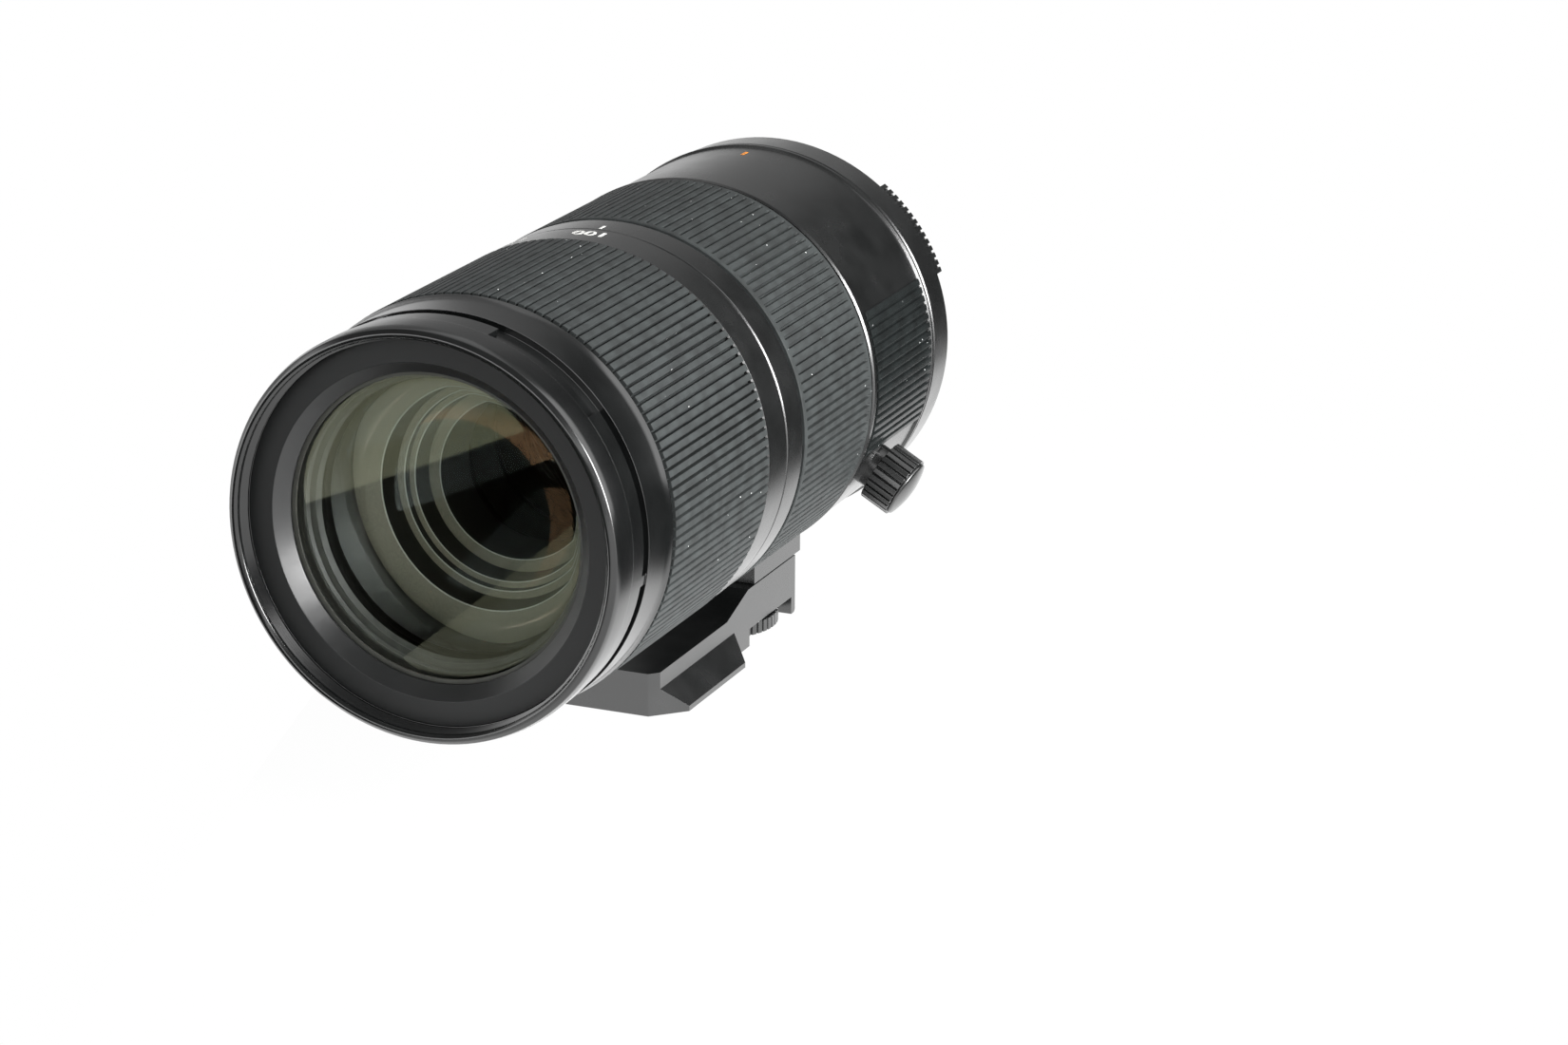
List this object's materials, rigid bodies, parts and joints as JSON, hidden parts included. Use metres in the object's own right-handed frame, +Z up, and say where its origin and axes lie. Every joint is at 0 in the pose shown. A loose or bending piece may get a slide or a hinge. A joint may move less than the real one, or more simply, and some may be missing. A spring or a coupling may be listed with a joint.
{
  "type": "camera zoom lens",
  "caption": "Telephoto zoom lens with a sliding front barrel, ribbed zoom and focus rings and a rotating tripod collar whose foot has a dovetail base.",
  "frame": {"origin": "centre of the camera mount's flange, on the optical axis", "axes": "-Y along the optical axis out of the front glass, +Y into the camera, +Z up away from the tripod foot, +X to the right as seen from the camera's front left, on the side of the collar's lock knob"},
  "size_m": [0.0935, 0.2032, 0.1077],
  "materials": {
    "rim_black": "semi-gloss black anodised aluminium",
    "satin_black": "satin black painted aluminium",
    "dress_black": "fine matt black",
    "grip_rubber": "moulded black rubber",
    "collar_black": "satin black painted aluminium",
    "foot_black": "satin black painted aluminium",
    "wheel_metal": "black anodised, knurled",
    "knob_black": "black anodised, ribbed",
    "cap_black": "glossy black",
    "bright_steel": "turned and chromed brass",
    "screw_steel": "plain steel",
    "seal_rubber": "soft black rubber",
    "black_plastic": "moulded black",
    "baffle_black": "flocked matt black",
    "gold_plate": "gold plated",
    "inner_metal": "black anodised aluminium",
    "inner_plastic": "glass-filled black",
    "cam_aluminium": "machined, hard anodised",
    "pin_steel": "ground steel",
    "tube_black": "satin black anodised aluminium",
    "follower_brass": "turned brass",
    "cell_black": "matt black anodised aluminium",
    "coil_copper": "enamelled copper wire",
    "magnet_nickel": "nickel plated magnet",
    "board_green": "solder mask",
    "coated_glass": "multi-coated, green and amber reflections",
    "clear_glass": "polished optical glass",
    "blade_black": "thin black lacquered sheet"
  },
  "bodies": {
    "barrel": {"main_barrel": "inner_metal", "barrel_bushing": "inner_plastic", "index_ring": "satin_black", "rear_barrel": "satin_black", "mount_plate": "bright_steel", "mount_screws": "screw_steel", "mount_gasket": "seal_rubber", "rear_baffle": "baffle_black", "contact_block": "black_plastic", "contact_pins": "gold_plate", "inner_frame": "inner_plastic", "iris_base": "cell_black", "relay_cell": "cell_black", "relay_glass": "clear_glass", "focus_magnet": "magnet_nickel", "focus_rods": "pin_steel", "rear_cell": "cell_black", "rear_inner_glass": "clear_glass", "rear_glass": "coated_glass", "circuit_board": "board_green"},
    "zoom_ring": {"zoom_sleeve": "satin_black", "zoom_grip": "grip_rubber", "cam_barrel": "cam_aluminium", "drive_key": "pin_steel"},
    "front_barrel": {"filter_ring": "rim_black", "front_shell": "satin_black", "name_ring": "dress_black", "front_tube": "tube_black", "cam_followers": "follower_brass", "front_cell": "cell_black", "front_retainer": "cell_black", "front_glass": "coated_glass", "doublet_front_glass": "clear_glass", "doublet_rear_glass": "clear_glass", "doublet_retainer": "cell_black"},
    "zoom_group": {"variator_cell": "cell_black", "variator_front_glass": "clear_glass", "variator_rear_glass": "clear_glass", "variator_followers": "follower_brass"},
    "focus_ring": {"focus_sleeve": "satin_black", "focus_grip": "grip_rubber"},
    "focus_group": {"focus_cell": "inner_plastic", "focus_glass": "clear_glass", "focus_coil": "coil_copper"},
    "iris_ring": {"iris_drive_ring": "inner_plastic"},
    "collar": {"tripod_collar": "collar_black", "rib_patches": "grip_rubber", "clamp_pad": "follower_brass", "tripod_foot": "foot_black"},
    "lock_knob": {"lock_knob": "knob_black", "knob_cap": "cap_black"},
    "thumb_wheel": {"thumb_wheel": "wheel_metal"},
    "iris_blade_1": {"iris_blade_1": "blade_black"},
    "iris_blade_2": {"iris_blade_2": "blade_black"},
    "iris_blade_3": {"iris_blade_3": "blade_black"},
    "iris_blade_4": {"iris_blade_4": "blade_black"},
    "iris_blade_5": {"iris_blade_5": "blade_black"},
    "iris_blade_6": {"iris_blade_6": "blade_black"},
    "iris_blade_7": {"iris_blade_7": "blade_black"}
  },
  "joints": [
    {"name": "zoom_turn", "type": "hinge", "parent": "barrel", "child": "zoom_ring", "pos_m": [0, -0.15, 0], "axis": [0, 1, 0], "range_deg": [0, 92]},
    {"name": "front_slide", "type": "slide", "parent": "barrel", "child": "front_barrel", "axis": [0, -1, 0], "range_m": [0, 0.07]},
    {"name": "zoom_group_slide", "type": "slide", "parent": "barrel", "child": "zoom_group", "axis": [0, -1, 0], "range_m": [0, 0.02]},
    {"name": "focus_turn", "type": "hinge", "parent": "barrel", "child": "focus_ring", "pos_m": [0, -0.084, 0], "axis": [0, 1, 0], "continuous": true},
    {"name": "focus_slide", "type": "slide", "parent": "barrel", "child": "focus_group", "axis": [0, -1, 0], "range_m": [0, 0.012]},
    {"name": "iris_turn", "type": "hinge", "parent": "barrel", "child": "iris_ring", "pos_m": [0, -0.098, 0], "axis": [0, 1, 0], "range_deg": [0, 20]},
    {"name": "collar_turn", "type": "hinge", "parent": "barrel", "child": "collar", "pos_m": [0, -0.045, 0], "axis": [0, 1, 0], "continuous": true},
    {"name": "lock_knob_turn", "type": "hinge", "parent": "collar", "child": "lock_knob", "pos_m": [0.04157, -0.048, -0.024], "axis": [0.866, 0, -0.5], "range_deg": [0, 180]},
    {"name": "thumb_wheel_turn", "type": "hinge", "parent": "collar", "child": "thumb_wheel", "pos_m": [0, -0.0511, -0.0613], "axis": [0, 0, -1], "range_deg": [0, 360]},
    {"name": "iris_blade_1_turn", "type": "hinge", "parent": "barrel", "child": "iris_blade_1", "pos_m": [0, -0.0995, 0.0293], "axis": [0, 1, 0], "range_deg": [0, 30]},
    {"name": "iris_blade_2_turn", "type": "hinge", "parent": "barrel", "child": "iris_blade_2", "pos_m": [0.02291, -0.0995, 0.01827], "axis": [0, 1, 0], "range_deg": [0, 30]},
    {"name": "iris_blade_3_turn", "type": "hinge", "parent": "barrel", "child": "iris_blade_3", "pos_m": [0.02857, -0.0995, -0.00652], "axis": [0, 1, 0], "range_deg": [0, 30]},
    {"name": "iris_blade_4_turn", "type": "hinge", "parent": "barrel", "child": "iris_blade_4", "pos_m": [0.01271, -0.0995, -0.0264], "axis": [0, 1, 0], "range_deg": [0, 30]},
    {"name": "iris_blade_5_turn", "type": "hinge", "parent": "barrel", "child": "iris_blade_5", "pos_m": [-0.01271, -0.0995, -0.0264], "axis": [0, 1, 0], "range_deg": [0, 30]},
    {"name": "iris_blade_6_turn", "type": "hinge", "parent": "barrel", "child": "iris_blade_6", "pos_m": [-0.02857, -0.0995, -0.00652], "axis": [0, 1, 0], "range_deg": [0, 30]},
    {"name": "iris_blade_7_turn", "type": "hinge", "parent": "barrel", "child": "iris_blade_7", "pos_m": [-0.02291, -0.0995, 0.01827], "axis": [0, 1, 0], "range_deg": [0, 30]}
  ],
  "couplings": [
    {"joint": "front_slide", "follows": "zoom_turn", "m_per_rad": 0.043595},
    {"joint": "zoom_group_slide", "follows": "zoom_turn", "m_per_rad": 0.012456},
    {"joint": "iris_blade_1_turn", "follows": "iris_turn", "ratio": 1.5},
    {"joint": "iris_blade_2_turn", "follows": "iris_turn", "ratio": 1.5},
    {"joint": "iris_blade_3_turn", "follows": "iris_turn", "ratio": 1.5},
    {"joint": "iris_blade_4_turn", "follows": "iris_turn", "ratio": 1.5},
    {"joint": "iris_blade_5_turn", "follows": "iris_turn", "ratio": 1.5},
    {"joint": "iris_blade_6_turn", "follows": "iris_turn", "ratio": 1.5},
    {"joint": "iris_blade_7_turn", "follows": "iris_turn", "ratio": 1.5}
  ]
}
